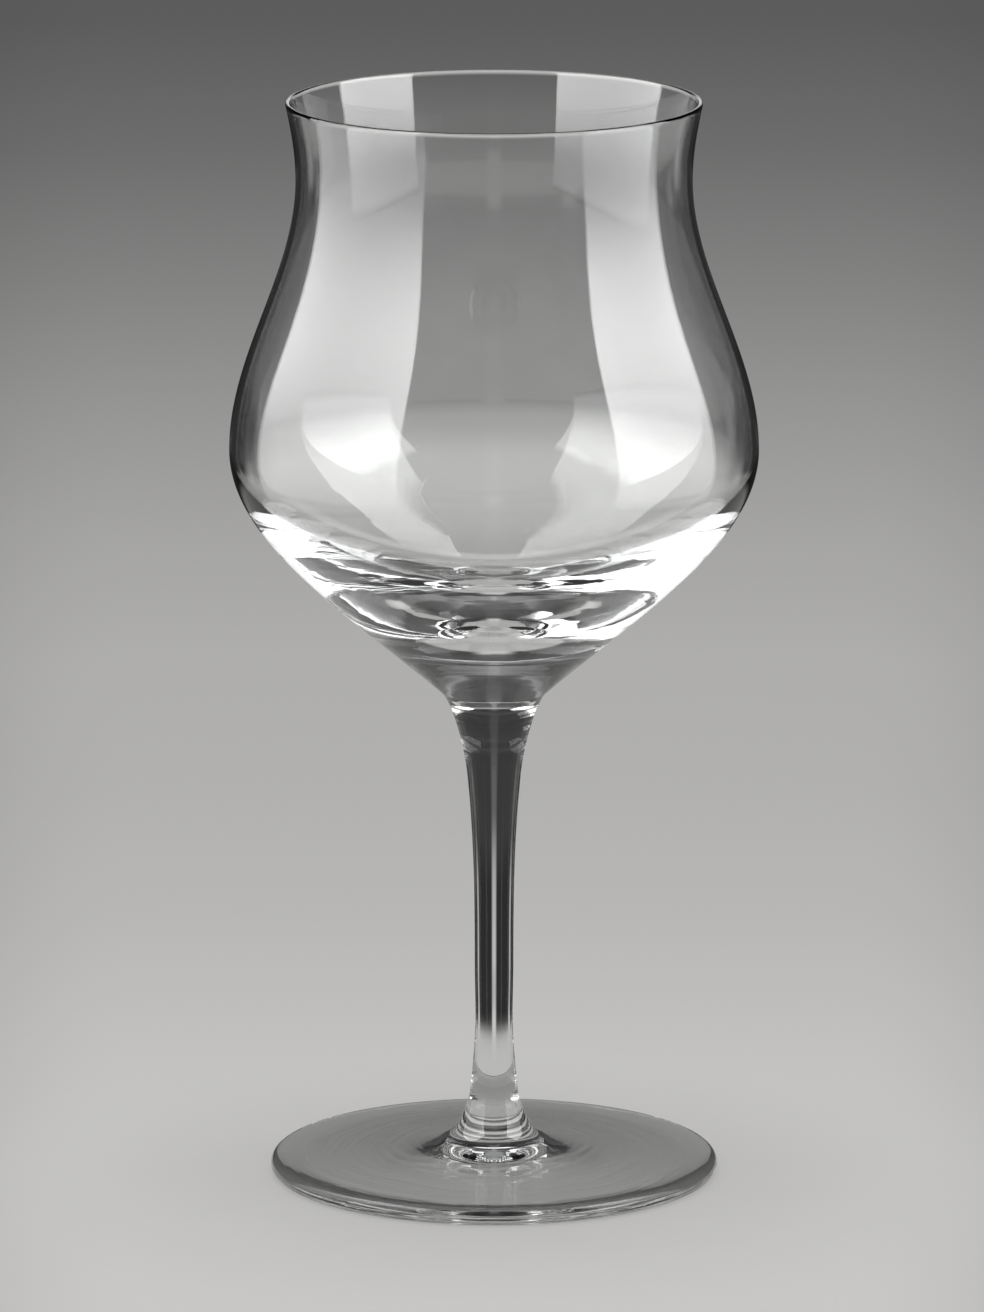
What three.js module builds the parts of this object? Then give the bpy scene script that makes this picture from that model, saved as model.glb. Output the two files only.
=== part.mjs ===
// Stemmed gin glass: a tulip bowl with a flared lip, a drawn stem and a round foot.
// The three gathers of glass are made apart and fused end to end while hot.
// Millimetres, +Z up, origin at the centre of the circle that the foot rests on.
import * as THREE from "three";

// Stack of the three pieces along the axis
const FOOT_HEIGHT = 14.1; // table to the weld of foot and stem
const STEM_LENGTH = 81; // weld to weld
const BOWL_HEIGHT = 114.9; // weld of stem and bowl to the top of the lip

// Welds: radius of the joined faces, and the outline's lean there in degrees outwards from upright
const FOOT_WELD_RADIUS = 5;
const FOOT_WELD_LEAN = -16;
const BOWL_WELD_RADIUS = 10.2;
const BOWL_WELD_LEAN = 48.5;

// Foot
const FOOT_RADIUS = 43.4;
const FOOT_EDGE_THICKNESS = 3.4;
const FOOT_EDGE_ROUNDING = 1.5; // reach of the rounded edge, inwards from the widest circle
const FOOT_EDGE_SLOPE = 3; // degrees that the top rises inwards at the edge
const SKIRT_RADIUS = 11; // where the top turns up towards the stem
const SKIRT_HEIGHT = 6.5;
const SKIRT_SLOPE = 8; // degrees that the top rises inwards at the skirt
const REST_RING_WIDTH = 5; // flat ring that stands on the table
const UNDERSIDE_RISE = 2.4; // hollow under the middle of the foot

// Stem
const ANKLE_RADIUS = 4.5; // where the stem starts to spread towards the foot
const ANKLE_ABOVE_FOOT_WELD = 3.5;
const ANKLE_LEAN = -6.5;
const STEM_RADIUS = 3.75; // slimmest place
const SLIMMEST_ABOVE_FOOT_WELD = 27.9;
const NECK_RADIUS = 5.3; // where the stem starts to spread towards the bowl
const NECK_BELOW_BOWL_WELD = 14.9;
const NECK_LEAN = 6;

// Bowl, outside
const BELLY_RADIUS = 50.8;
const BELLY_ABOVE_BOWL_WELD = 47.5;
const WAIST_RADIUS = 37.9;
const WAIST_BELOW_LIP = 15;
const LIP_RADIUS = 39.8;
const LIP_LEAN = 12;

// Bowl, thickness of the glass
const LIP_WALL = 0.9;
const WAIST_WALL = 1;
const BELLY_WALL = 1.15;
const FLOOR_THICKNESS = 17.1; // weld to the lowest place inside

// How far a stretch keeps a station's direction, as a share of the way to its neighbour
const EVEN_PULL = 0.35;
const SOFT_PULL = 0.5;
const SHORT_PULL = 0.15;

// Facets
const FACETS_AROUND = 56;
const LONG_STRETCH_STEPS = 9;
const SHORT_STRETCH_STEPS = 5;
const ROUNDING_STEPS = 6;
const SAME_PLACE = 1e-6; // points closer than this are one point

const footWeldZ = FOOT_HEIGHT;
const bowlWeldZ = footWeldZ + STEM_LENGTH;
const lipTopZ = bowlWeldZ + BOWL_HEIGHT;

// A station is a place on an outline: radius, height, and the lean of the outline in degrees.
function station(radius, height, lean = 0) {
  return { at: new THREE.Vector2(radius, height), lean: THREE.MathUtils.degToRad(lean) };
}

// Curve from a lower station up to a higher one, tangent to the lean of both.
function risingStretch(low, high, steps, lowPull = EVEN_PULL, highPull = EVEN_PULL) {
  const rise = high.at.y - low.at.y;
  const lowHandle = new THREE.Vector2(Math.tan(low.lean), 1).multiplyScalar(lowPull * rise);
  const highHandle = new THREE.Vector2(Math.tan(high.lean), 1).multiplyScalar(-highPull * rise);
  const curve = new THREE.CubicBezierCurve(
    low.at,
    lowHandle.add(low.at),
    highHandle.add(high.at),
    high.at,
  );
  return curve.getPoints(steps);
}

// Joins stretches into one outline, keeping each shared end once.
function outline(...stretches) {
  const points = stretches.flat();
  return points.filter((point, i) => i === 0 || point.distanceTo(points[i - 1]) > SAME_PLACE);
}

const onAxis = (height) => [new THREE.Vector2(0, height)];
const upsideDown = (points) => [...points].reverse();

function clearGlass() {
  return new THREE.MeshStandardMaterial({
    color: 0xf2f5f4,
    roughness: 0.03,
    metalness: 0,
    transparent: true,
    opacity: 0.35,
  });
}

// Turns an outline of radius and height about the upright axis.
function turned(name, points) {
  const mesh = new THREE.Mesh(new THREE.LatheGeometry(points, FACETS_AROUND), clearGlass());
  mesh.name = name;
  mesh.rotation.x = Math.PI / 2;
  return mesh;
}

const footWeld = station(FOOT_WELD_RADIUS, footWeldZ, FOOT_WELD_LEAN);
const bowlWeld = station(BOWL_WELD_RADIUS, bowlWeldZ, BOWL_WELD_LEAN);

// Foot: hollowed underside, flat resting ring, rounded edge, and a top that turns up into a short boss.
function footOutline() {
  const edgeInset = FOOT_RADIUS - FOOT_EDGE_ROUNDING;
  const restInner = edgeInset - REST_RING_WIDTH;
  const underside = new THREE.CubicBezierCurve(
    new THREE.Vector2(0, UNDERSIDE_RISE),
    new THREE.Vector2(restInner * EVEN_PULL, UNDERSIDE_RISE),
    new THREE.Vector2(restInner * (1 - EVEN_PULL), UNDERSIDE_RISE * EVEN_PULL),
    new THREE.Vector2(restInner, 0),
  );
  const edge = new THREE.EllipseCurve(
    edgeInset,
    FOOT_EDGE_THICKNESS / 2,
    FOOT_EDGE_ROUNDING,
    FOOT_EDGE_THICKNESS / 2,
    -Math.PI / 2,
    Math.PI / 2,
  );
  const reach = (edgeInset - SKIRT_RADIUS) * EVEN_PULL;
  const edgeRise = Math.tan(THREE.MathUtils.degToRad(FOOT_EDGE_SLOPE)) * reach;
  const skirtFall = Math.tan(THREE.MathUtils.degToRad(SKIRT_SLOPE)) * reach;
  const top = new THREE.CubicBezierCurve(
    new THREE.Vector2(edgeInset, FOOT_EDGE_THICKNESS),
    new THREE.Vector2(edgeInset - reach, FOOT_EDGE_THICKNESS + edgeRise),
    new THREE.Vector2(SKIRT_RADIUS + reach, SKIRT_HEIGHT - skirtFall),
    new THREE.Vector2(SKIRT_RADIUS, SKIRT_HEIGHT),
  );
  const bossRise = (footWeldZ - SKIRT_HEIGHT) * SOFT_PULL;
  const bossReach = (SKIRT_RADIUS - FOOT_WELD_RADIUS) * SOFT_PULL;
  const boss = new THREE.CubicBezierCurve(
    new THREE.Vector2(SKIRT_RADIUS, SKIRT_HEIGHT),
    new THREE.Vector2(
      SKIRT_RADIUS - bossReach,
      SKIRT_HEIGHT + Math.tan(THREE.MathUtils.degToRad(SKIRT_SLOPE)) * bossReach,
    ),
    new THREE.Vector2(FOOT_WELD_RADIUS - Math.tan(footWeld.lean) * bossRise, footWeldZ - bossRise),
    footWeld.at,
  );
  return outline(
    underside.getPoints(ROUNDING_STEPS),
    edge.getPoints(ROUNDING_STEPS),
    top.getPoints(SHORT_STRETCH_STEPS),
    boss.getPoints(ROUNDING_STEPS),
    onAxis(footWeldZ),
  );
}

// Stem: spreads from its slimmest place down to the foot and up to the bowl.
function stemOutline() {
  const ankle = station(ANKLE_RADIUS, footWeldZ + ANKLE_ABOVE_FOOT_WELD, ANKLE_LEAN);
  const slimmest = station(STEM_RADIUS, footWeldZ + SLIMMEST_ABOVE_FOOT_WELD);
  const neck = station(NECK_RADIUS, bowlWeldZ - NECK_BELOW_BOWL_WELD, NECK_LEAN);
  return outline(
    onAxis(footWeldZ),
    risingStretch(footWeld, ankle, SHORT_STRETCH_STEPS),
    risingStretch(ankle, slimmest, SHORT_STRETCH_STEPS, SOFT_PULL),
    risingStretch(slimmest, neck, LONG_STRETCH_STEPS),
    risingStretch(neck, bowlWeld, LONG_STRETCH_STEPS, SHORT_PULL, SHORT_PULL),
    onAxis(bowlWeldZ),
  );
}

// Bowl: the outside up to the lip, over the fire-polished round of the lip, and down the inside.
function bowlOutline() {
  const lipRound = LIP_WALL / 2;
  const bellyZ = bowlWeldZ + BELLY_ABOVE_BOWL_WELD;
  const waistZ = lipTopZ - WAIST_BELOW_LIP;
  const belly = station(BELLY_RADIUS, bellyZ);
  const waist = station(WAIST_RADIUS, waistZ);
  const lip = station(LIP_RADIUS, lipTopZ - lipRound, LIP_LEAN);
  const lipInside = station(LIP_RADIUS - LIP_WALL, lipTopZ - lipRound, LIP_LEAN);
  const waistInside = station(WAIST_RADIUS - WAIST_WALL, waistZ);
  const bellyInside = station(BELLY_RADIUS - BELLY_WALL, bellyZ);
  const floorZ = bowlWeldZ + FLOOR_THICKNESS;
  const lipTop = new THREE.EllipseCurve(LIP_RADIUS - lipRound, lip.at.y, lipRound, lipRound, 0, Math.PI);
  const hollow = new THREE.CubicBezierCurve(
    bellyInside.at,
    new THREE.Vector2(bellyInside.at.x, bellyZ - (bellyZ - floorZ) * SOFT_PULL),
    new THREE.Vector2(bellyInside.at.x * SOFT_PULL, floorZ),
    new THREE.Vector2(0, floorZ),
  );
  return outline(
    onAxis(bowlWeldZ),
    risingStretch(bowlWeld, belly, LONG_STRETCH_STEPS),
    risingStretch(belly, waist, LONG_STRETCH_STEPS),
    risingStretch(waist, lip, SHORT_STRETCH_STEPS),
    lipTop.getPoints(ROUNDING_STEPS),
    upsideDown(risingStretch(waistInside, lipInside, SHORT_STRETCH_STEPS)),
    upsideDown(risingStretch(bellyInside, waistInside, LONG_STRETCH_STEPS)),
    hollow.getPoints(LONG_STRETCH_STEPS),
  );
}

const glass = new THREE.Group();
glass.add(turned("foot", footOutline()));
glass.add(turned("stem", stemOutline()));
glass.add(turned("bowl", bowlOutline()));

export default glass;
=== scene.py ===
"""Looks of a stemmed gin glass: blown bowl, drawn stem and spun foot, in clear glass.

Metres, +Z up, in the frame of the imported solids. The photograph looks along +Y.
"""

import logging
import math
from abc import ABC, abstractmethod
from dataclasses import dataclass
from enum import Enum, IntEnum
from typing import Iterable, Sequence, Union

import bmesh
import bpy
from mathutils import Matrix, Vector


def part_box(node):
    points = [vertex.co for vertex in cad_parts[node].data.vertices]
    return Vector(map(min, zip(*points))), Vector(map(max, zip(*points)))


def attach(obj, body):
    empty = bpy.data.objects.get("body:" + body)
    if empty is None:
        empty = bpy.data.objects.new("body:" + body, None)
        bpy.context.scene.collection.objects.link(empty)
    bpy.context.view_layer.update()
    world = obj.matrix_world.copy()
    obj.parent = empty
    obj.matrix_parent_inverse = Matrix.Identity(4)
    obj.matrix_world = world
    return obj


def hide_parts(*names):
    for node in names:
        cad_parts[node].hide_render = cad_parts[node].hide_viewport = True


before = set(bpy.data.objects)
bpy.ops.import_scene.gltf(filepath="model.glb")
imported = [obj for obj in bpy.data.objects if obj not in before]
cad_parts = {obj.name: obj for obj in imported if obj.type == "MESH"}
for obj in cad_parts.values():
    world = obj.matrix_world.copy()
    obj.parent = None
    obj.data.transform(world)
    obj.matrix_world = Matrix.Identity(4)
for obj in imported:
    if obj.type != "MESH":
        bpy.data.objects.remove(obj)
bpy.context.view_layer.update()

LOG = logging.getLogger("gin_glass")

Point = tuple[float, float]
Colour = tuple[float, float, float]
Feed = Union[float, bpy.types.NodeSocket]
Tint = Union[Colour, bpy.types.NodeSocket]

BODY = "root"
AXIS_RADIUS = 1e-7

FOOT_WELD_RADIUS = 0.005
FOOT_WELD_LEAN = -16.0
BOWL_WELD_LEAN = 48.5

EVEN_PULL = 0.35
SOFT_PULL = 0.5
SHORT_PULL = 0.15

LONG_STEPS = 56
SHORT_STEPS = 28
ROUND_STEPS = 14

THROUGH_BOUNCES = 24
MIRROR_BOUNCES = 16
NOISE_MIDDLE = 0.5


class Surface(IntEnum):
    """What a stretch of an outline is on the real glass; the value is its material slot."""

    POLISHED = 0
    FUSED = 1


class RingPath(Enum):
    """The way in which the rings left by the making follow one another."""

    UPRIGHT = "upright"
    RADIAL = "radial"


@dataclass(frozen=True)
class Station:
    """A place on an outline, with the lean of the outline there.

    Attributes:
        radius: Distance from the axis.
        height: Height above the table.
        lean: Degrees outwards from upright.
    """

    radius: float
    height: float
    lean: float = 0.0

    @property
    def place(self) -> Point:
        """Radius and height."""
        return (self.radius, self.height)

    def handle(self, rise: float) -> Point:
        """The point reached by following the lean for a rise."""
        return (self.radius + math.tan(math.radians(self.lean)) * rise, self.height + rise)


@dataclass(frozen=True)
class Stretch:
    """A run of an outline that has one kind of surface."""

    points: tuple[Point, ...]
    surface: Surface = Surface.POLISHED


@dataclass(frozen=True)
class Ridge:
    """A faint ring that hot working left on the outside.

    Attributes:
        height: Height of the ring above the table.
        width: How far the ring spreads up and down.
        rise: How far it stands out; a negative rise is a groove.
    """

    height: float
    width: float
    rise: float

    def lift(self, height: float) -> float:
        """Growth of the radius at a height."""
        away = (height - self.height) / self.width
        return self.rise * math.exp(-away * away)


def bend(start: Point, leave: Point, arrive: Point, end: Point, steps: int) -> tuple[Point, ...]:
    """Samples a cubic curve.

    Args:
        start: First point.
        leave: Handle of the first point.
        arrive: Handle of the last point.
        end: Last point.
        steps: Number of spans.

    Returns:
        The points, both ends included.
    """
    points = []
    for step in range(steps + 1):
        t = step / steps
        u = 1.0 - t
        weights = (u * u * u, 3 * u * u * t, 3 * u * t * t, t * t * t)
        corners = (start, leave, arrive, end)
        radius = sum(w * c[0] for w, c in zip(weights, corners))
        height = sum(w * c[1] for w, c in zip(weights, corners))
        points.append((radius, height))
    return tuple(points)


def rising(
    low: Station,
    high: Station,
    steps: int,
    low_pull: float = EVEN_PULL,
    high_pull: float = EVEN_PULL,
) -> tuple[Point, ...]:
    """Samples the curve from a lower station up to a higher one, tangent to both.

    Args:
        low: Lower station.
        high: Higher station.
        steps: Number of spans.
        low_pull: Share of the rise over which the lower lean is kept.
        high_pull: Share of the rise over which the higher lean is kept.

    Returns:
        The points from low to high.
    """
    rise = high.height - low.height
    leave = low.handle(low_pull * rise)
    arrive = high.handle(-high_pull * rise)
    return bend(low.place, leave, arrive, high.place, steps)


def rounding(centre: Point, reach: Point, first: float, last: float) -> tuple[Point, ...]:
    """Samples an elliptical round.

    Args:
        centre: Centre of the round.
        reach: Its half width and half height.
        first: Angle of the first point in degrees, from outwards towards up.
        last: Angle of the last point.

    Returns:
        The points along the round.
    """
    points = []
    for step in range(ROUND_STEPS + 1):
        angle = math.radians(first + (last - first) * step / ROUND_STEPS)
        outwards = reach[0] * math.cos(angle)
        upwards = reach[1] * math.sin(angle)
        points.append((centre[0] + outwards, centre[1] + upwards))
    return tuple(points)


def ridged(points: Iterable[Point], ridges: Sequence[Ridge]) -> tuple[Point, ...]:
    """Adds faint rings to an outline.

    Args:
        points: The plain outline.
        ridges: The rings.

    Returns:
        The outline with the rings.
    """
    return tuple((r + sum(ridge.lift(z) for ridge in ridges), z) for r, z in points)


class NodeDesk:
    """Places nodes in one tree and links them.

    Attributes:
        FIRST_COLOUR: Place of a Mix node's first colour among its inputs.
        SECOND_COLOUR: Place of its second colour.
        MIXED_COLOUR: Place of the mixed colour among its outputs.
    """

    FIRST_COLOUR = 6
    SECOND_COLOUR = 7
    MIXED_COLOUR = 2

    def __init__(self, tree: bpy.types.NodeTree) -> None:
        """Empties the tree.

        Args:
            tree: The tree to fill.
        """
        self.tree = tree
        tree.nodes.clear()

    def add(self, kind: str, **settings: object) -> bpy.types.Node:
        """Adds a node.

        Args:
            kind: Blender's type name of the node.
            **settings: Properties to set on it.

        Returns:
            The node.
        """
        node = self.tree.nodes.new(kind)
        for name, value in settings.items():
            setattr(node, name, value)
        return node

    def feed(self, socket: bpy.types.NodeSocket, value: Union[Feed, Sequence[float]]) -> None:
        """Links a socket, or sets its plain value.

        Args:
            socket: The input.
            value: A number, a colour, or the output to link.
        """
        if isinstance(value, bpy.types.NodeSocket):
            self.tree.links.new(value, socket)
        else:
            socket.default_value = value

    def math(self, operation: str, *values: Feed) -> bpy.types.NodeSocket:
        """Adds a Math node.

        Args:
            operation: The operation's name.
            *values: Its inputs.

        Returns:
            The result.
        """
        node = self.add("ShaderNodeMath", operation=operation)
        for socket, value in zip(node.inputs, values):
            self.feed(socket, value)
        return node.outputs[0]

    def step(
        self,
        value: Feed,
        low: Feed,
        high: Feed,
        start: Feed = 0.0,
        end: Feed = 1.0,
    ) -> bpy.types.NodeSocket:
        """Adds a smooth step.

        Args:
            value: What is stepped on.
            low: Where the step starts.
            high: Where it ends.
            start: Result below low.
            end: Result above high.

        Returns:
            The result.
        """
        node = self.add("ShaderNodeMapRange", interpolation_type="SMOOTHSTEP")
        for socket, number in zip(node.inputs, (value, low, high, start, end)):
            self.feed(socket, number)
        return node.outputs[0]

    def between(self, value: Feed, ends: Point, fades: Point) -> bpy.types.NodeSocket:
        """Adds a share that comes up after one end and fades out before the other.

        Args:
            value: What runs from one end to the other.
            ends: Where the share starts and ends.
            fades: How long it takes to come up and to fade out.

        Returns:
            The share.
        """
        first, last = ends
        return self.math(
            "MULTIPLY",
            self.step(value, first, first + fades[0]),
            self.step(value, last - fades[1], last, 1.0, 0.0),
        )

    def ramp(self, value: Feed, stops: Sequence[tuple[float, Colour]]) -> bpy.types.NodeSocket:
        """Adds a colour ramp over any range of numbers.

        Args:
            value: What the ramp runs along.
            stops: Number and colour of each stop, in rising order.

        Returns:
            The colour.
        """
        first = stops[0][0]
        span = stops[-1][0] - first
        share = self.math("DIVIDE", self.math("SUBTRACT", value, first), span)
        node = self.add("ShaderNodeValToRGB")
        node.color_ramp.interpolation = "EASE"
        elements = node.color_ramp.elements
        while len(elements) < len(stops):
            elements.new(0.5)
        for element, (number, colour) in zip(elements, stops):
            element.position = (number - first) / span
            element.color = (*colour, 1.0)
        self.feed(node.inputs[0], share)
        return node.outputs["Color"]

    def blend(self, share: Feed, first: Tint, second: Tint) -> bpy.types.NodeSocket:
        """Adds a colour mix.

        Args:
            share: Share of the second colour.
            first: First colour.
            second: Second colour.

        Returns:
            The mixed colour.
        """
        node = self.add("ShaderNodeMix", data_type="RGBA")
        self.feed(node.inputs["Factor"], share)
        for place, colour in ((self.FIRST_COLOUR, first), (self.SECOND_COLOUR, second)):
            self.feed(node.inputs[place], (*colour, 1.0) if isinstance(colour, tuple) else colour)
        return node.outputs[self.MIXED_COLOUR]


@dataclass(frozen=True)
class MakersMarks:
    """Shared node group: faint rings and cloudiness that hot working leaves in clear glass.

    Attributes:
        name: Name of the group.
        cloud_scale: Number of clouds in a metre.
        cloud_detail: Fineness of the clouds.
        ring_scale: Number of rings in a ring spacing.
        ring_detail: Fineness of the rings.
        patch_low: Cloudiness at which patches start.
        patch_high: Cloudiness at which they are full.
    """

    name: str = "makers_marks"
    cloud_scale: float = 38.0
    cloud_detail: float = 3.0
    ring_scale: float = 1.0
    ring_detail: float = 2.0
    patch_low: float = 0.42
    patch_high: float = 0.72

    def group(self) -> bpy.types.NodeTree:
        """Builds the group once.

        Returns:
            The node group, with a height, a haze and a tint that change over the surface.
        """
        made = bpy.data.node_groups.get(self.name)
        if made:
            return made
        made = bpy.data.node_groups.new(self.name, "ShaderNodeTree")
        rates = ("Radial Rate", "Upright Rate", "Swirl", "Calm From", "Calm To", "Calm Share")
        for label in (*rates, "Clear Haze", "Cloudy Haze"):
            made.interface.new_socket(label, in_out="INPUT", socket_type="NodeSocketFloat")
        for label in ("Clear Tint", "Cloudy Tint"):
            made.interface.new_socket(label, in_out="INPUT", socket_type="NodeSocketColor")
        for label in ("Height", "Haze"):
            made.interface.new_socket(label, in_out="OUTPUT", socket_type="NodeSocketFloat")
        made.interface.new_socket("Tint", in_out="OUTPUT", socket_type="NodeSocketColor")
        self._fill(NodeDesk(made))
        return made

    def _fill(self, desk: NodeDesk) -> None:
        """Fills the group.

        Args:
            desk: Desk of the group's tree.
        """
        given = desk.add("NodeGroupInput").outputs
        place = desk.add("ShaderNodeTexCoord").outputs["Object"]
        parts = desk.add("ShaderNodeSeparateXYZ")
        desk.feed(parts.inputs[0], place)
        x, y, z = parts.outputs
        radius = desk.math("SQRT", desk.math("MULTIPLY_ADD", x, x, desk.math("MULTIPLY", y, y)))
        upright = desk.math("MULTIPLY", z, given["Upright Rate"])
        along = desk.math("MULTIPLY_ADD", radius, given["Radial Rate"], upright)
        cloud = desk.add("ShaderNodeTexNoise", noise_dimensions="3D")
        desk.feed(cloud.inputs["Vector"], place)
        desk.feed(cloud.inputs["Scale"], self.cloud_scale)
        desk.feed(cloud.inputs["Detail"], self.cloud_detail)
        clouds = cloud.outputs[0]
        stray = desk.math("MULTIPLY", desk.math("SUBTRACT", clouds, NOISE_MIDDLE), given["Swirl"])
        rings = desk.add("ShaderNodeTexNoise", noise_dimensions="1D")
        desk.feed(rings.inputs["W"], desk.math("ADD", along, stray))
        desk.feed(rings.inputs["Scale"], self.ring_scale)
        desk.feed(rings.inputs["Detail"], self.ring_detail)
        calm = desk.step(z, given["Calm From"], given["Calm To"], 1.0, given["Calm Share"])
        height = desk.math("MULTIPLY", desk.math("SUBTRACT", rings.outputs[0], NOISE_MIDDLE), calm)
        patches = desk.step(clouds, self.patch_low, self.patch_high)
        more_haze = desk.math("SUBTRACT", given["Cloudy Haze"], given["Clear Haze"])
        haze = desk.math("MULTIPLY_ADD", patches, more_haze, given["Clear Haze"])
        out = desk.add("NodeGroupOutput").inputs
        desk.feed(out["Height"], height)
        desk.feed(out["Haze"], haze)
        desk.feed(out["Tint"], desk.blend(patches, given["Clear Tint"], given["Cloudy Tint"]))


@dataclass(frozen=True)
class ClearGlass:
    """Clear fire-polished glass.

    Attributes:
        name: Material name.
        ring_path: Way in which the rings of the making follow one another.
        ring_spacing: Distance between rings.
        ring_depth: Depth of the rings, for the bump.
        swirl: How far the rings wander, in ring spacings.
        calm: Heights above the table between which the rings calm down.
        calm_share: Share of their depth that they keep above.
        clear_tint: Colour of the clearest glass.
        cloudy_tint: Colour of the least clear glass.
        clear_haze: Roughness where the polish is best.
        cloudy_haze: Roughness where it is least.
        index: Refractive index.
        shade: Share of the light that a shadow keeps at each surface.
    """

    name: str
    ring_path: RingPath
    ring_spacing: float
    ring_depth: float
    swirl: float
    calm: Point = (0.0, 1.0)
    calm_share: float = 1.0
    clear_tint: Colour = (0.985, 0.992, 0.989)
    cloudy_tint: Colour = (0.97, 0.98, 0.975)
    clear_haze: float = 0.0
    cloudy_haze: float = 0.004
    index: float = 1.52
    shade: float = 0.955

    def material(self) -> bpy.types.Material:
        """Builds the material.

        Returns:
            The glass.
        """
        made = bpy.data.materials.new(self.name)
        made.use_nodes = True
        desk = NodeDesk(made.node_tree)
        marks = desk.add("ShaderNodeGroup", node_tree=MakersMarks().group())
        rate = 1.0 / self.ring_spacing
        radial = self.ring_path is RingPath.RADIAL
        values = {
            "Radial Rate": rate if radial else 0.0,
            "Upright Rate": 0.0 if radial else rate,
            "Swirl": self.swirl,
            "Calm From": self.calm[0],
            "Calm To": self.calm[1],
            "Calm Share": self.calm_share,
            "Clear Haze": self.clear_haze,
            "Cloudy Haze": self.cloudy_haze,
            "Clear Tint": (*self.clear_tint, 1.0),
            "Cloudy Tint": (*self.cloudy_tint, 1.0),
        }
        for label, value in values.items():
            marks.inputs[label].default_value = value
        bump = desk.add("ShaderNodeBump")
        bump.inputs["Strength"].default_value = 1.0
        bump.inputs["Distance"].default_value = self.ring_depth
        desk.feed(bump.inputs["Height"], marks.outputs["Height"])
        glass = desk.add("ShaderNodeBsdfPrincipled")
        glass.inputs["Metallic"].default_value = 0.0
        glass.inputs["Transmission Weight"].default_value = 1.0
        glass.inputs["IOR"].default_value = self.index
        desk.feed(glass.inputs["Base Color"], marks.outputs["Tint"])
        desk.feed(glass.inputs["Roughness"], marks.outputs["Haze"])
        desk.feed(glass.inputs["Normal"], bump.outputs["Normal"])
        shadow = desk.add("ShaderNodeBsdfTransparent")
        shadow.inputs["Color"].default_value = (self.shade, self.shade, self.shade, 1.0)
        mix = desk.add("ShaderNodeMixShader")
        desk.feed(mix.inputs[0], desk.add("ShaderNodeLightPath").outputs["Is Shadow Ray"])
        desk.feed(mix.inputs[1], glass.outputs[0])
        desk.feed(mix.inputs[2], shadow.outputs[0])
        desk.feed(desk.add("ShaderNodeOutputMaterial").inputs["Surface"], mix.outputs[0])
        return made


@dataclass(frozen=True)
class FusedFace:
    """The face of a weld, which is inside the glass and can't be seen."""

    name: str = "fused_face"

    def material(self) -> bpy.types.Material:
        """Builds the material once.

        Returns:
            The unseen material.
        """
        made = bpy.data.materials.get(self.name)
        if made:
            return made
        made = bpy.data.materials.new(self.name)
        made.use_nodes = True
        face = made.node_tree.nodes["Principled BSDF"]
        face.inputs["Alpha"].default_value = 0.0
        return made


@dataclass
class TurnedPiece(ABC):
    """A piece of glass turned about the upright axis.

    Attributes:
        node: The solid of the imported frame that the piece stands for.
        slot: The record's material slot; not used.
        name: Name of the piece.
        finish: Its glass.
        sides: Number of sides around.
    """

    node: str
    slot: str
    name: str
    finish: ClearGlass
    sides: int

    @abstractmethod
    def stretches(self) -> list[Stretch]:
        """The outline, from the axis round the glass and back to the axis."""

    def build(self) -> bpy.types.Object:
        """Turns the outline and puts the piece in the scene.

        Returns:
            The piece.
        """
        mesh = bpy.data.meshes.new(self.name)
        shell = bmesh.new()
        self._turn(shell)
        for edge in shell.edges:
            edge.smooth = len({face.material_index for face in edge.link_faces}) == 1
        shell.to_mesh(mesh)
        shell.free()
        piece = bpy.data.objects.new(self.name, mesh)
        bpy.context.scene.collection.objects.link(piece)
        return piece

    def dress(self, piece: bpy.types.Object) -> None:
        """Gives the piece its glass.

        Args:
            piece: The built piece.
        """
        piece.data.materials.append(self.finish.material())
        piece.data.materials.append(FusedFace().material())

    def place(self) -> bpy.types.Object:
        """Builds and dresses the piece, and ties it to the frame.

        Returns:
            The finished piece.
        """
        piece = self.build()
        self.dress(piece)
        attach(piece, BODY)
        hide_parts(self.node)
        LOG.info("%s: %d faces", self.name, len(piece.data.polygons))
        return piece

    def _turn(self, shell: bmesh.types.BMesh) -> None:
        """Makes the rings of the outline and the faces between them.

        Args:
            shell: The mesh to fill.
        """
        before: list[bmesh.types.BMVert] = []
        last: Point = (-1.0, -1.0)
        for stretch in self.stretches():
            for point in stretch.points:
                if math.dist(point, last) < AXIS_RADIUS:
                    continue
                ring = self._ring(shell, point)
                if before:
                    self._band(shell, before, ring, stretch.surface)
                before = ring
                last = point

    def _ring(self, shell: bmesh.types.BMesh, point: Point) -> list[bmesh.types.BMVert]:
        """Makes the corners of one ring.

        Args:
            shell: The mesh.
            point: Radius and height.

        Returns:
            The corners, or a single one on the axis.
        """
        radius, height = point
        if radius < AXIS_RADIUS:
            return [shell.verts.new((0.0, 0.0, height))]
        corners = []
        for side in range(self.sides):
            angle = 2.0 * math.pi * side / self.sides
            corner = (radius * math.cos(angle), radius * math.sin(angle), height)
            corners.append(shell.verts.new(corner))
        return corners

    def _band(
        self,
        shell: bmesh.types.BMesh,
        before: list[bmesh.types.BMVert],
        after: list[bmesh.types.BMVert],
        surface: Surface,
    ) -> None:
        """Makes the faces between two rings.

        Args:
            shell: The mesh.
            before: The earlier ring.
            after: The later ring.
            surface: What the band is.
        """
        for side in range(self.sides):
            following = (side + 1) % self.sides
            corners = [
                before[side % len(before)],
                before[following % len(before)],
                after[following % len(after)],
                after[side % len(after)],
            ]
            face = shell.faces.new(list(dict.fromkeys(corners)))
            face.material_index = int(surface)
            face.smooth = True


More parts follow.
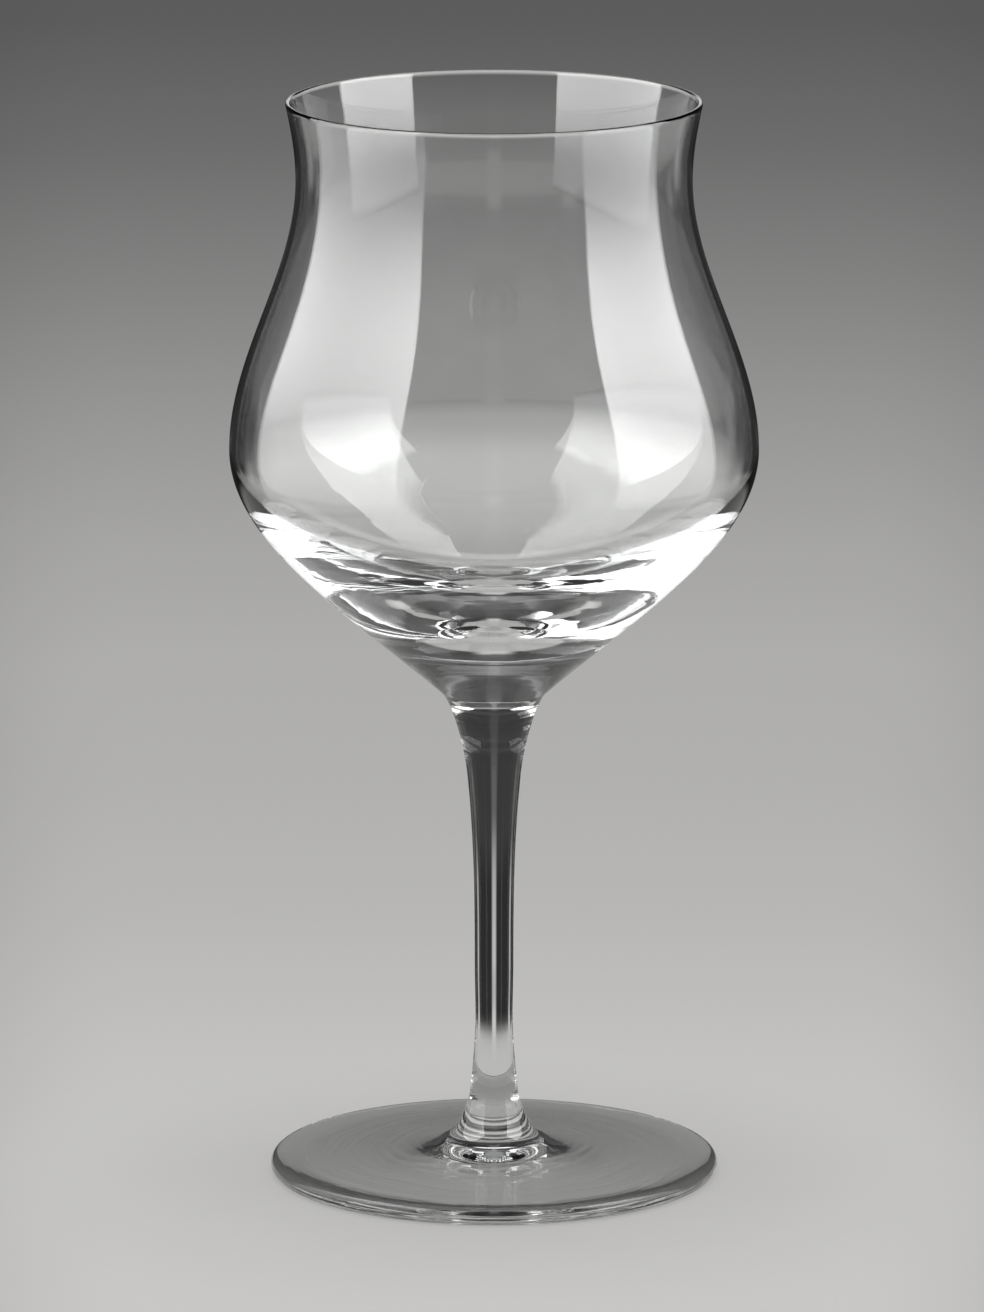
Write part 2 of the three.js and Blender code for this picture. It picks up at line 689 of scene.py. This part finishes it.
@dataclass
class Bowl(TurnedPiece):
    """The blown bowl: weld, belly, waist and flared lip, with the hollow inside.

    Attributes:
        weld: Station of the weld with the stem.
        top: Height of the lip.
        belly_radius: Widest radius.
        belly_rise: Belly above the weld.
        waist_radius: Radius of the waist.
        waist_drop: Waist below the lip.
        lip_radius: Radius of the lip, outside.
        lip_lean: Degrees that the lip leans outwards.
        lip_wall: Thickness at the lip.
        waist_wall: Thickness at the waist.
        belly_wall: Thickness at the belly.
        floor_thickness: Weld to the lowest place inside.
    """

    weld: Station
    top: float
    belly_radius: float
    belly_rise: float = 0.0475
    waist_radius: float = 0.0379
    waist_drop: float = 0.015
    lip_radius: float = 0.0398
    lip_lean: float = 12.0
    lip_wall: float = 0.0009
    waist_wall: float = 0.001
    belly_wall: float = 0.00115
    floor_thickness: float = 0.0171

    def stretches(self) -> list[Stretch]:
        """Draws the outline, from the weld up the outside, over the lip and down the inside.

        Returns:
            The stretches in order.
        """
        half = self.lip_wall / 2
        belly_height = self.weld.height + self.belly_rise
        waist_height = self.top - self.waist_drop
        floor = self.weld.height + self.floor_thickness
        tilt = math.radians(self.lip_lean)
        middle = (self.lip_radius - half, self.top - half)
        aside = (half * math.cos(tilt), -half * math.sin(tilt))
        belly = Station(self.belly_radius, belly_height)
        waist = Station(self.waist_radius, waist_height)
        lip = Station(middle[0] + aside[0], middle[1] + aside[1], self.lip_lean)
        lip_inside = Station(middle[0] - aside[0], middle[1] - aside[1], self.lip_lean)
        waist_inside = Station(self.waist_radius - self.waist_wall, waist_height)
        belly_inside = Station(self.belly_radius - self.belly_wall, belly_height)
        depth = belly_height - floor
        hollow = bend(
            belly_inside.place,
            belly_inside.handle(-depth * SOFT_PULL),
            (belly_inside.radius * SOFT_PULL, floor),
            (0.0, floor),
            LONG_STEPS,
        )
        return [
            Stretch(((0.0, self.weld.height), self.weld.place), Surface.FUSED),
            Stretch(rising(self.weld, belly, LONG_STEPS)),
            Stretch(rising(belly, waist, LONG_STEPS)),
            Stretch(rising(waist, lip, SHORT_STEPS)),
            Stretch(rounding(middle, (half, half), -self.lip_lean, 180.0 - self.lip_lean)),
            Stretch(rising(waist_inside, lip_inside, SHORT_STEPS)[::-1]),
            Stretch(rising(belly_inside, waist_inside, LONG_STEPS)[::-1]),
            Stretch(hollow),
        ]


@dataclass
class Stem(TurnedPiece):
    """The drawn stem, which spreads at both ends into its welds.

    Attributes:
        foot_weld: Station of the weld with the foot.
        bowl_weld: Station of the weld with the bowl.
        ankle_radius: Radius where the stem starts to spread towards the foot.
        ankle_rise: That place above the foot's weld.
        ankle_lean: Lean there in degrees.
        slim_radius: Slimmest radius.
        slim_rise: Slimmest place above the foot's weld.
        neck_radius: Radius where the stem starts to spread towards the bowl.
        neck_drop: That place below the bowl's weld.
        neck_lean: Lean there in degrees.
        ring_count: Number of faint rings at the neck.
        ring_gap: Distance from ring to ring.
        ring_width: Spread of a ring.
        ring_rise: How far the rings stand out.
    """

    foot_weld: Station
    bowl_weld: Station
    ankle_radius: float = 0.0045
    ankle_rise: float = 0.0035
    ankle_lean: float = -6.5
    slim_radius: float = 0.00375
    slim_rise: float = 0.0279
    neck_radius: float = 0.0053
    neck_drop: float = 0.0149
    neck_lean: float = 6.0
    ring_count: int = 3
    ring_gap: float = 0.0011
    ring_width: float = 0.0005
    ring_rise: float = 0.00003

    def stretches(self) -> list[Stretch]:
        """Draws the outline, from the foot's weld up to the bowl's.

        Returns:
            The stretches in order.
        """
        ankle = Station(self.ankle_radius, self.foot_weld.height + self.ankle_rise, self.ankle_lean)
        slim = Station(self.slim_radius, self.foot_weld.height + self.slim_rise)
        neck = Station(self.neck_radius, self.bowl_weld.height - self.neck_drop, self.neck_lean)
        rings = [
            Ridge(neck.height + number * self.ring_gap, self.ring_width, self.ring_rise)
            for number in range(self.ring_count)
        ]
        outside = (
            *rising(self.foot_weld, ankle, SHORT_STEPS),
            *rising(ankle, slim, SHORT_STEPS, SOFT_PULL),
            *rising(slim, neck, LONG_STEPS),
            *rising(neck, self.bowl_weld, LONG_STEPS, SHORT_PULL, SHORT_PULL),
        )
        return [
            Stretch(((0.0, self.foot_weld.height), self.foot_weld.place), Surface.FUSED),
            Stretch(ridged(outside, rings)),
            Stretch((self.bowl_weld.place, (0.0, self.bowl_weld.height)), Surface.FUSED),
        ]


@dataclass
class Foot(TurnedPiece):
    """The spun foot: hollow underside, resting ring, rounded edge, and a top that turns up to the stem.

    Attributes:
        weld: Station of the weld with the stem.
        radius: Outer radius.
        edge_thickness: Thickness at the edge.
        edge_rounding: Reach of the rounded edge, inwards.
        edge_slope: Degrees that the top rises inwards at the edge.
        skirt_radius: Radius where the top turns up.
        skirt_height: Height there.
        skirt_slope: Degrees that the top rises inwards there.
        rest_width: Width of the ring that stands on the table.
        hollow_rise: Rise of the hollow under the middle.
    """

    weld: Station
    radius: float
    edge_thickness: float = 0.0034
    edge_rounding: float = 0.0015
    edge_slope: float = 3.0
    skirt_radius: float = 0.011
    skirt_height: float = 0.0065
    skirt_slope: float = 8.0
    rest_width: float = 0.005
    hollow_rise: float = 0.0024

    def stretches(self) -> list[Stretch]:
        """Draws the outline, from the middle of the underside round the edge and over the top.

        Returns:
            The stretches in order.
        """
        inset = self.radius - self.edge_rounding
        rest_inner = inset - self.rest_width
        half = self.edge_thickness / 2
        underside = bend(
            (0.0, self.hollow_rise),
            (rest_inner * EVEN_PULL, self.hollow_rise),
            (rest_inner * (1 - EVEN_PULL), self.hollow_rise * EVEN_PULL),
            (rest_inner, 0.0),
            SHORT_STEPS,
        )
        reach = (inset - self.skirt_radius) * EVEN_PULL
        edge_rate = math.tan(math.radians(self.edge_slope))
        skirt_rate = math.tan(math.radians(self.skirt_slope))
        top = bend(
            (inset, self.edge_thickness),
            (inset - reach, self.edge_thickness + edge_rate * reach),
            (self.skirt_radius + reach, self.skirt_height - skirt_rate * reach),
            (self.skirt_radius, self.skirt_height),
            SHORT_STEPS,
        )
        inwards = (self.skirt_radius - self.weld.radius) * SOFT_PULL
        boss = bend(
            (self.skirt_radius, self.skirt_height),
            (self.skirt_radius - inwards, self.skirt_height + skirt_rate * inwards),
            self.weld.handle((self.skirt_height - self.weld.height) * SOFT_PULL),
            self.weld.place,
            SHORT_STEPS,
        )
        return [
            Stretch(underside),
            Stretch(rounding((inset, half), (self.edge_rounding, half), -90.0, 90.0)),
            Stretch(top),
            Stretch(boss),
            Stretch((self.weld.place, (0.0, self.weld.height)), Surface.FUSED),
        ]


@dataclass(frozen=True)
class SoftPanel:
    """An upright lit sheet near the glass, which shows only where the glass mirrors it.

    Attributes:
        name: Name of the sheet.
        first: Degrees from straight behind the glass, round by its right, to the first upright edge.
        last: Degrees to the last upright edge.
        strength: Its greatest brightness where it is mirrored once.
        deep_strength: Its brightness where it is mirrored again and again inside the glass.
        distance: Distance of its upright edges from the axis.
        low: Height of its lower edge.
        high: Height of its upper edge.
        low_fade: Height over which its lower edge comes up.
        high_fade: Height over which it fades out at the top.
        side_fade: Degrees over which its upright edges come up.
        dim_share: Share of its brightness that its lower part has.
        dim_top: Height up to which it is dim.
        full: Height from which it has its greatest brightness.
    """

    name: str
    first: float
    last: float
    strength: float
    deep_strength: float = 1.8
    distance: float = 0.3
    low: float = 0.0
    high: float = 0.55
    low_fade: float = 0.035
    high_fade: float = 0.1
    side_fade: float = 0.2
    dim_share: float = 0.2
    dim_top: float = 0.08
    full: float = 0.35

    def build(self) -> bpy.types.Object:
        """Builds the sheet and puts it in the scene.

        Returns:
            The sheet.
        """
        mesh = bpy.data.meshes.new(self.name)
        first = self._edge(self.first)
        last = self._edge(self.last)
        corners = [(*first, self.low), (*last, self.low), (*last, self.high), (*first, self.high)]
        mesh.from_pydata(corners, [], [(0, 1, 2, 3)])
        mesh.materials.append(self._material())
        sheet = bpy.data.objects.new(self.name, mesh)
        sheet.visible_camera = False
        sheet.visible_diffuse = False
        sheet.visible_shadow = False
        bpy.context.scene.collection.objects.link(sheet)
        LOG.info("%s: staged", self.name)
        return sheet

    def _edge(self, degrees: float) -> Point:
        """Finds where an upright edge stands on the floor plan.

        Args:
            degrees: Degrees from straight behind the glass, round by its right.

        Returns:
            The place along X and Y.
        """
        angle = math.radians(degrees)
        return (self.distance * math.sin(angle), self.distance * math.cos(angle))

    def _material(self) -> bpy.types.Material:
        """Builds the light of the sheet, which light that was never mirrored passes by.

        Returns:
            The material.
        """
        made = bpy.data.materials.new(self.name)
        made.use_nodes = True
        made.cycles.emission_sampling = "NONE"
        desk = NodeDesk(made.node_tree)
        parts = desk.add("ShaderNodeSeparateXYZ")
        desk.feed(parts.inputs[0], desk.add("ShaderNodeTexCoord").outputs["Object"])
        x, y, height = parts.outputs
        around = desk.math("DEGREES", desk.math("ARCTAN2", x, y))
        ends = desk.math(
            "MULTIPLY",
            desk.between(height, (self.low, self.high), (self.low_fade, self.high_fade)),
            desk.between(around, (self.first, self.last), (self.side_fade, self.side_fade)),
        )
        once = desk.step(height, self.dim_top, self.full, self.dim_share * self.strength, self.strength)
        mirrorings = desk.add("ShaderNodeLightPath").outputs["Glossy Depth"]
        again = desk.step(mirrorings, 1.0, 2.0)
        change = desk.math("SUBTRACT", self.deep_strength, once)
        level = desk.math("MULTIPLY_ADD", again, change, once)
        light = desk.add("ShaderNodeEmission")
        desk.feed(light.inputs["Strength"], desk.math("MULTIPLY", ends, level))
        mix = desk.add("ShaderNodeMixShader")
        desk.feed(mix.inputs[0], desk.math("MINIMUM", mirrorings, 1.0))
        desk.feed(mix.inputs[1], desk.add("ShaderNodeBsdfTransparent").outputs[0])
        desk.feed(mix.inputs[2], light.outputs[0])
        desk.feed(desk.add("ShaderNodeOutputMaterial").inputs["Surface"], mix.outputs[0])
        return made


@dataclass(frozen=True)
class Surround:
    """The studio around the glass: a pale floor, a pale backdrop, and darker screens before it.

    Attributes:
        pale: Elevation and colour of the floor and the pale backdrop.
        screen: Elevation and colour of the floor and the screens between the openings.
        opening: Degrees from the middle of an opening to where it starts and ends to darken.
        spacing: Degrees between the middles of the openings.
        ambient: Colour of the light on matt things.
    """

    pale: tuple[tuple[float, Colour], ...] = (
        (-90.0, (0.54, 0.536, 0.527)),
        (-50.0, (0.46, 0.456, 0.449)),
        (-38.0, (0.42, 0.417, 0.41)),
        (-24.0, (0.48, 0.476, 0.469)),
        (-15.0, (0.58, 0.574, 0.562)),
        (-12.5, (0.44, 0.436, 0.43)),
        (-8.0, (0.1, 0.1, 0.1)),
        (4.0, (0.05, 0.05, 0.05)),
        (20.0, (0.03, 0.03, 0.03)),
        (38.0, (0.13, 0.13, 0.13)),
        (56.0, (0.26, 0.26, 0.26)),
        (90.0, (0.5, 0.5, 0.5)),
    )
    screen: tuple[tuple[float, Colour], ...] = (
        (-90.0, (0.54, 0.536, 0.527)),
        (-50.0, (0.46, 0.456, 0.449)),
        (-38.0, (0.42, 0.417, 0.41)),
        (-24.0, (0.41, 0.407, 0.4)),
        (-18.5, (0.39, 0.387, 0.381)),
        (-15.4, (0.025, 0.025, 0.025)),
        (40.0, (0.015, 0.015, 0.015)),
        (56.0, (0.08, 0.08, 0.08)),
        (70.0, (0.25, 0.25, 0.25)),
        (90.0, (0.5, 0.5, 0.5)),
    )
    opening: tuple[float, float] = (2.0, 6.2)
    spacing: float = 45.0
    ambient: Colour = (0.15, 0.15, 0.15)

    def build(self) -> bpy.types.World:
        """Builds the world and sets it.

        Returns:
            The world.
        """
        world = bpy.data.worlds.new("studio_surround")
        world.use_nodes = True
        bpy.context.scene.world = world
        desk = NodeDesk(world.node_tree)
        parts = desk.add("ShaderNodeSeparateXYZ")
        desk.feed(parts.inputs[0], desk.add("ShaderNodeTexCoord").outputs["Generated"])
        x, y, z = parts.outputs
        around = desk.math("DEGREES", desk.math("ARCTAN2", x, y))
        up = desk.math("DEGREES", desk.math("ARCSINE", z))
        shut = desk.step(desk.math("PINGPONG", around, self.spacing / 2), *self.opening)
        backdrop = desk.blend(shut, desk.ramp(up, self.pale), desk.ramp(up, self.screen))
        path = desk.add("ShaderNodeLightPath").outputs
        seen = desk.add("ShaderNodeBackground")
        desk.feed(seen.inputs["Color"], backdrop)
        plain = desk.add("ShaderNodeBackground")
        plain.inputs["Color"].default_value = (*self.ambient, 1.0)
        shown = desk.math(
            "MAXIMUM",
            path["Is Camera Ray"],
            desk.math("MAXIMUM", path["Is Glossy Ray"], path["Is Transmission Ray"]),
        )
        mix = desk.add("ShaderNodeMixShader")
        desk.feed(mix.inputs[0], shown)
        desk.feed(mix.inputs[1], plain.outputs[0])
        desk.feed(mix.inputs[2], seen.outputs[0])
        desk.feed(desk.add("ShaderNodeOutputWorld").inputs["Surface"], mix.outputs[0])
        LOG.info("%s: set", world.name)
        return world


@dataclass(frozen=True)
class Table:
    """The plain pale floor, a disc that fades into the backdrop.

    Attributes:
        radius: Radius of the disc.
        solid: Radius up to which it is solid.
        sides: Number of sides of the disc.
        colour: Its colour.
        mottle: Share by which the colour varies.
        grain_scale: Number of grains in a metre.
    """

    radius: float = 0.12
    solid: float = 0.05
    sides: int = 128
    colour: Colour = (0.62, 0.615, 0.605)
    mottle: float = 0.03
    grain_scale: float = 60.0

    def build(self) -> bpy.types.Object:
        """Builds the floor and puts it in the scene.

        Returns:
            The floor.
        """
        mesh = bpy.data.meshes.new("table_top")
        disc = bmesh.new()
        bmesh.ops.create_circle(disc, cap_ends=True, segments=self.sides, radius=self.radius)
        disc.to_mesh(mesh)
        disc.free()
        mesh.materials.append(self._material())
        floor = bpy.data.objects.new("table_top", mesh)
        bpy.context.scene.collection.objects.link(floor)
        LOG.info("table_top: staged")
        return floor

    def _material(self) -> bpy.types.Material:
        """Builds the pale matt finish.

        Returns:
            The material.
        """
        made = bpy.data.materials.new("pale_table")
        made.use_nodes = True
        desk = NodeDesk(made.node_tree)
        place = desk.add("ShaderNodeTexCoord").outputs["Object"]
        grain = desk.add("ShaderNodeTexNoise")
        desk.feed(grain.inputs["Vector"], place)
        desk.feed(grain.inputs["Scale"], self.grain_scale)
        darker = tuple(part * (1 - self.mottle) for part in self.colour)
        away = desk.add("ShaderNodeVectorMath", operation="LENGTH")
        desk.feed(away.inputs[0], place)
        matt = desk.add("ShaderNodeBsdfDiffuse")
        desk.feed(matt.inputs["Color"], desk.blend(grain.outputs[0], darker, self.colour))
        gone = desk.add("ShaderNodeBsdfTransparent")
        mix = desk.add("ShaderNodeMixShader")
        desk.feed(mix.inputs[0], desk.step(away.outputs["Value"], self.solid, self.radius))
        desk.feed(mix.inputs[1], matt.outputs[0])
        desk.feed(mix.inputs[2], gone.outputs[0])
        desk.feed(desk.add("ShaderNodeOutputMaterial").inputs["Surface"], mix.outputs[0])
        return made


@dataclass(frozen=True)
class OverheadLamp:
    """One large soft lamp above.

    Attributes:
        height: Height of the lamp.
        size: Side of its square.
        power: Its power in watts.
    """

    height: float = 1.1
    size: float = 0.6
    power: float = 10.0

    def build(self) -> bpy.types.Object:
        """Builds the lamp.

        Returns:
            The lamp.
        """
        data = bpy.data.lights.new("overhead_softbox", "AREA")
        data.shape = "SQUARE"
        data.size = self.size
        data.energy = self.power
        lamp = bpy.data.objects.new("overhead_softbox", data)
        lamp.location = (0.0, 0.0, self.height)
        lamp.visible_camera = False
        lamp.visible_glossy = False
        lamp.visible_transmission = False
        bpy.context.scene.collection.objects.link(lamp)
        LOG.info("overhead_softbox: %.1f W", self.power)
        return lamp


@dataclass(frozen=True)
class PhotoCamera:
    """The long lens of the photograph, looking a little down.

    Attributes:
        distance: Distance in front of the glass's axis.
        height: Height above the table.
        aside: Offset to the right.
        pitch: Degrees that it looks down.
        lens: Focal length in millimetres.
        sensor: Long side of the sensor in millimetres.
    """

    distance: float = 1.9594
    height: float = 0.516
    aside: float = -0.0004
    pitch: float = 11.93
    lens: float = 285.4
    sensor: float = 36.0

    def build(self) -> bpy.types.Object:
        """Builds the camera and makes it the scene's.

        Returns:
            The camera.
        """
        data = bpy.data.cameras.new("photo_camera")
        data.lens = self.lens
        data.sensor_width = self.sensor
        camera = bpy.data.objects.new("photo_camera", data)
        camera.location = (self.aside, -self.distance, self.height)
        camera.rotation_euler = (math.radians(90.0 - self.pitch), 0.0, 0.0)
        bpy.context.scene.collection.objects.link(camera)
        bpy.context.scene.camera = camera
        LOG.info("photo_camera: %.1f mm", self.lens)
        return camera


def light_paths() -> None:
    """Lets light pass through all the surfaces of the glass."""
    cycles = bpy.context.scene.cycles
    cycles.max_bounces = THROUGH_BOUNCES
    cycles.transmission_bounces = THROUGH_BOUNCES
    cycles.glossy_bounces = MIRROR_BOUNCES
    cycles.transparent_max_bounces = THROUGH_BOUNCES
    cycles.caustics_reflective = False
    cycles.caustics_refractive = False


def main() -> None:
    """Builds the glass and its studio."""
    logging.basicConfig(level=logging.INFO, format="%(name)s: %(message)s")
    bpy.context.scene.view_settings.view_transform = "Standard"
    light_paths()
    PhotoCamera().build()
    foot_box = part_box("foot")
    bowl_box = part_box("bowl")
    stem_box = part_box("stem")
    foot_weld = Station(FOOT_WELD_RADIUS, foot_box[1][2], FOOT_WELD_LEAN)
    bowl_weld = Station(stem_box[1][0], bowl_box[0][2], BOWL_WELD_LEAN)
    pieces = (
        Bowl(
            node="bowl",
            slot="bowl_glass",
            name="blown_bowl",
            finish=ClearGlass(
                name="blown_bowl_glass",
                ring_path=RingPath.UPRIGHT,
                ring_spacing=0.012,
                ring_depth=0.0001,
                swirl=3.0,
                calm=(0.116, 0.136),
                calm_share=0.03,
            ),
            sides=192,
            weld=bowl_weld,
            top=bowl_box[1][2],
            belly_radius=bowl_box[1][0],
        ),
        Stem(
            node="stem",
            slot="stem_glass",
            name="drawn_stem",
            finish=ClearGlass(
                name="drawn_stem_glass",
                ring_path=RingPath.UPRIGHT,
                ring_spacing=0.003,
                ring_depth=0.000003,
                swirl=1.0,
            ),
            sides=96,
            foot_weld=foot_weld,
            bowl_weld=bowl_weld,
        ),
        Foot(
            node="foot",
            slot="foot_glass",
            name="spun_foot",
            finish=ClearGlass(
                name="spun_foot_glass",
                ring_path=RingPath.RADIAL,
                ring_spacing=0.005,
                ring_depth=0.00004,
                swirl=1.6,
            ),
            sides=192,
            weld=foot_weld,
            radius=foot_box[1][0],
        ),
    )
    for piece in pieces:
        piece.place()
    Table().build()
    Surround().build()
    SoftPanel(name="left_panel", first=-141.0, last=-64.0, strength=5.8).build()
    SoftPanel(name="right_panel", first=76.0, last=129.0, strength=6.8).build()
    SoftPanel(
        name="lip_strip",
        first=-28.0,
        last=28.0,
        strength=1.3,
        deep_strength=0.0,
        distance=0.27,
        low=0.2,
        high=0.28,
        low_fade=0.025,
        high_fade=0.03,
        side_fade=18.0,
        dim_share=1.0,
    ).build()
    OverheadLamp().build()


if __name__ == "__main__":
    main()
